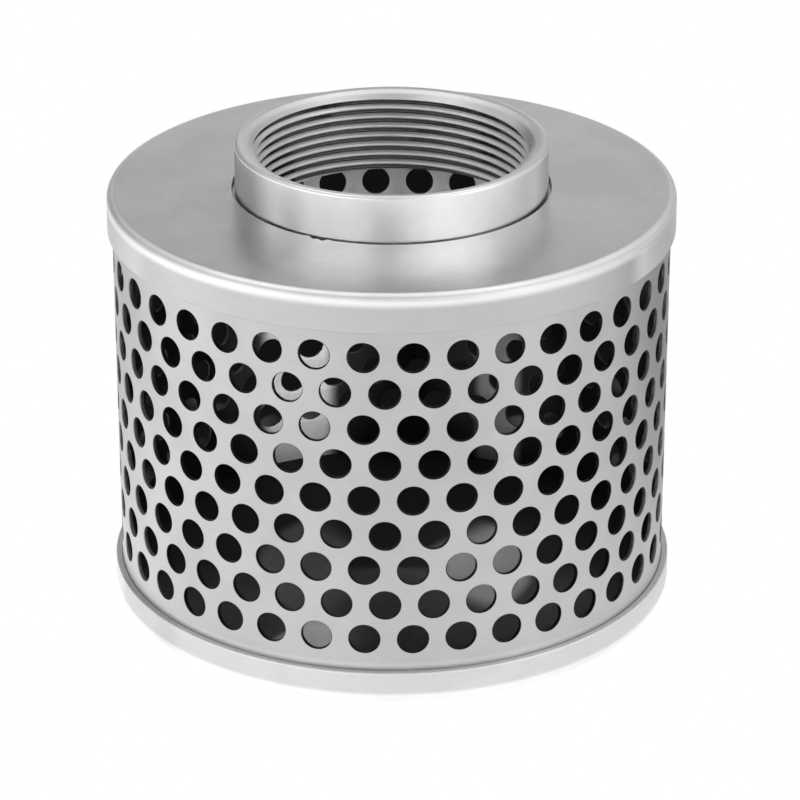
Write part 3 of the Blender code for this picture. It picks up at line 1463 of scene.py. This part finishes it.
INSIDE_LAMPS = (
    InsideLamp((0.02, -0.05, 0.112), (-0.0324, 0.0803, 0.041), 27.0, 1.3),
    InsideLamp((-0.02, -0.05, 0.112), (0.0366, 0.0785, 0.036), 20.0, 0.9),
    InsideLamp((0.0, 0.06, 0.1), (0.031, 0.002, 0.0018), 40.0, 0.085),
    InsideLamp((0.0, 0.03, 0.11), (-0.0243, -0.0481, 0.0018), 14.0, 0.15),
)


@dataclass(frozen=True)
class Shadow:
    """The floor's shadow behind a round form, as wide as the form looks from the front.

    full_slope and clear_slope are half widths over the distance from the camera, and full_end and
    clear_end are how far behind the axis the shadow is full and where it has faded out.
    """

    full_slope: float
    clear_slope: float
    full_end: float
    clear_end: float

    def mask(self, bench: NodeBench, slope: Socket, behind: Socket) -> Socket:
        """Give how deep the shadow is at a place.

        Args:
            bench: The floor's node bench.
            slope: The place's distance from the middle line over that from the camera.
            behind: The place's distance behind the axis.

        Returns:
            A value from 0 to 1.
        """
        wide = bench.ramp(slope, self.full_slope, self.clear_slope, 1.0, 0.0)
        long = bench.ramp(behind, self.full_end, self.clear_end, 1.0, 0.0)
        return bench.math("MULTIPLY", wide, long)


@dataclass(frozen=True)
class SheenLobe:
    """A side on which the metal sees the floor brighter or darker.

    turn is in degrees, share is what is added there, and power is how narrow the lobe is. A lobe
    of power 1 spans the whole floor and turns from share to -share.
    """

    turn: float
    share: float
    power: float


@dataclass
class Studio:
    """The floor, the light and the camera round the strainer.

    The camera's numbers come from a fit to the photograph in which fit_radius is 1. The sheen is
    how bright reflections see the floor: sheen_near_share of it at sheen_near from the axis, and
    all of it from sheen_far on.
    """

    fit_radius: ClassVar[float] = 0.0873
    focal_pixels: float = 3809.74
    image_pixels: float = 800.0
    sensor: float = 36.0
    clip_start: float = 0.01
    distance: float = 14.0 * fit_radius
    elevation: float = 0.42948
    aim_right: float = 0.0301 * fit_radius
    aim_up: float = -0.0698 * fit_radius
    aim_height: float = 0.0688
    floor_size: float = 12.0
    floor_shade: float = 0.95
    floor_roughness: float = 0.9
    floor_level: float = 1.25
    floor_lamp_place: tuple[float, float, float] = (0.0, -0.65, 0.445)
    floor_lamp_radius: float = 0.015
    hidden_shade: float = 0.1
    shadow_start: float = 0.015
    shadow_nearest: float = 0.1
    can_shadow: Shadow = Shadow(0.076, 0.0796, 0.24, 0.29)
    neck_shadow: Shadow = Shadow(0.032, 0.05, 0.385, 0.415)
    sheen_level: float = 1.195
    sheen_lobes: tuple[SheenLobe, ...] = (
        SheenLobe(-60.0, 0.066, 1.0), SheenLobe(-84.0, 0.24, 8.0),
        SheenLobe(-140.0, -0.33, 8.0), SheenLobe(128.0, -0.7, 6.0),
    )
    sheen_near: float = 0.1
    sheen_far: float = 0.25
    sheen_near_share: float = 0.6
    shade_level: float = 0.05

    def build(self) -> None:
        """Lay the floor, hang the lights and place the camera."""
        self._camera()
        self._floor()
        self._world()
        self._floor_lamp()
        for lights in (SOFT_LIGHTS, INSIDE_LAMPS):
            for index, light in enumerate(lights):
                light.hang(index)
        bpy.context.scene.view_settings.view_transform = "Standard"
        log.info("studio ready with %d soft lights", len(SOFT_LIGHTS))

    def _camera(self) -> None:
        """Place the camera at the photograph's viewing angle."""
        data = bpy.data.cameras.new("camera")
        data.sensor_width = self.sensor
        data.lens = self.focal_pixels / self.image_pixels * self.sensor
        data.clip_start = self.clip_start
        camera = bpy.data.objects.new("camera", data)
        bpy.context.scene.collection.objects.link(camera)
        sine, cosine = math.sin(self.elevation), math.cos(self.elevation)
        back = Vector((0.0, -cosine, sine))
        up = Vector((0.0, sine, cosine))
        right = Vector((1.0, 0.0, 0.0))
        aim = Vector((0.0, 0.0, self.aim_height))
        camera.location = aim + back * self.distance + right * self.aim_right + up * self.aim_up
        camera.rotation_euler = (QUARTER_TURN - self.elevation, 0.0, 0.0)
        bpy.context.scene.camera = camera

    def _floor(self) -> None:
        """Lay a plain floor, which is white to the camera but for the object's shadow."""
        Bench.clear()
        bpy.ops.mesh.primitive_plane_add(size=self.floor_size, location=(0.0, 0.0, 0.0))
        floor = Bench.added("floor")
        material = bpy.data.materials.new("white_floor")
        material.use_nodes = True
        nodes = material.node_tree.nodes
        bench = NodeBench(material.node_tree)
        place = bench.add("TexCoord").outputs["Object"]
        path = bench.add("LightPath")
        hidden = self._behind(bench, place)
        shader = nodes["Principled BSDF"]
        # Painted shadow: the floor's colour is darkened to hidden_shade there, on top of the lamp's
        # real shadow.
        shade = bench.ramp(hidden, 0.0, 1.0, self.floor_shade, self.hidden_shade)
        bench.fill(shader.inputs["Base Color"], shade)
        bench.fill(shader.inputs["Roughness"], self.floor_roughness)
        bench.fill(shader.inputs["Specular IOR Level"], 0.0)
        lit = bench.math("SUBTRACT", 1.0, hidden)
        backdrop = bench.add("Emission", Strength=1.0)
        white = bench.math("MULTIPLY", lit, path.outputs["Is Camera Ray"])
        seen = bench.add("MixShader", Fac=white)
        bench.fill(seen.inputs[1], shader.outputs["BSDF"])
        bench.fill(seen.inputs[2], backdrop.outputs["Emission"])
        sheen = bench.add("Emission", Strength=self._sheen(bench, place))
        blend = bench.add("MixShader", Fac=path.outputs["Is Glossy Ray"])
        bench.fill(blend.inputs[1], seen.outputs["Shader"])
        bench.fill(blend.inputs[2], sheen.outputs["Emission"])
        bench.fill(nodes["Material Output"].inputs["Surface"], blend.outputs["Shader"])
        floor.data.materials.append(material)

    def _behind(self, bench: NodeBench, place: Socket) -> Socket:
        """Give 1 on the floor behind the object, where its shadow lies and is painted, and 0 where
        it is white.

        The photograph shows that part through the holes only.

        Args:
            bench: The floor's node bench.
            place: The floor's place.

        Returns:
            A value from 0 to 1.
        """
        x, y, _ = bench.add("SeparateXYZ", Vector=place).outputs
        ground = self.distance * math.cos(self.elevation)
        middle = bench.math("MULTIPLY", y, -self.aim_right / ground)
        across = bench.math("ABSOLUTE", bench.math("SUBTRACT", x, middle))
        away = bench.math("MAXIMUM", bench.math("ADD", y, ground), self.shadow_nearest)
        slope = bench.math("DIVIDE", across, away)
        dark = 0.0
        for shadow in (self.can_shadow, self.neck_shadow):
            dark = bench.math("MAXIMUM", dark, shadow.mask(bench, slope, y))
        return bench.math("MULTIPLY", bench.ramp(y, 0.0, self.shadow_start), dark)

    def _sheen(self, bench: NodeBench, place: Socket) -> Socket:
        """Give how bright the metal sees the floor, which is darker behind on the right.

        Args:
            bench: The floor's node bench.
            place: The floor's place.

        Returns:
            The strength of the floor's glow.
        """
        level = self.sheen_level
        away = bench.vector("LENGTH", place).outputs["Value"]
        reach = bench.ramp(away, self.sheen_near, self.sheen_far, self.sheen_near_share, 1.0)
        way = bench.vector("NORMALIZE", place).outputs["Vector"]
        for lobe in self.sheen_lobes:
            side = towards(math.radians(lobe.turn))
            value = bench.vector("DOT_PRODUCT", way, side).outputs["Value"]
            if lobe.power > 1.0:
                facing = bench.math("MAXIMUM", value, 0.0)
                value = bench.math("MULTIPLY", reach, bench.math("POWER", facing, lobe.power))
            level = bench.math("ADD", bench.math("MULTIPLY", value, lobe.share), level)
        return level

    def _world(self) -> None:
        """Make the surround white to the camera and dark in the metal."""
        world = bpy.data.worlds.new("studio")
        bpy.context.scene.world = world
        world.use_nodes = True
        bench = NodeBench(world.node_tree)
        background = world.node_tree.nodes["Background"]
        path = bench.add("LightPath")
        in_shade = bench.math("MULTIPLY", path.outputs["Is Diffuse Ray"], self.shade_level)
        level = bench.math("ADD", path.outputs["Is Camera Ray"], in_shade)
        bench.fill(background.inputs["Color"], WHITE)
        bench.fill(background.inputs["Strength"], level)

    def _floor_lamp(self) -> None:
        """Hang the lamp that lights the floor evenly, so that the can's shadow falls behind it."""
        lamp = hung("floor_lamp", "POINT")
        lamp.data.shadow_soft_size = self.floor_lamp_radius
        lamp.data.energy = 4.0 * math.pi ** 2 * self.floor_level
        lamp.data.use_nodes = True
        bench = NodeBench(lamp.data.node_tree)
        even = bench.add("LightFalloff", Strength=1.0)
        emission = lamp.data.node_tree.nodes["Emission"]
        bench.fill(emission.inputs["Strength"], even.outputs["Constant"])
        lamp.location = self.floor_lamp_place
        lamp.visible_glossy = False
        lamp.visible_camera = False


def main() -> None:
    """Build the strainer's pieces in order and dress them."""
    logging.basicConfig(level=logging.INFO, format="%(name)s: %(message)s")
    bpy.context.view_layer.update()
    effects = Effects()
    heights = Heights()
    inside = PAINTED_SHADE_INSIDE.material(effects)
    cut = PUNCHED_EDGE_PAINTED_SHADE.material(effects)
    ThreadedCoupling(heights).build(TURNED_PLATE.material(effects))
    TopCap(heights).build(CAP_PLATE.material(effects), inside)
    PunchedScreen(heights).build(SCREEN_PLATE.material(effects), inside, cut)
    BottomCap(heights).build(CUP_PLATE.material(effects), PAINTED_SHADE_BASE.material(effects))
    Studio().build()


if __name__ == "__main__":
    main()
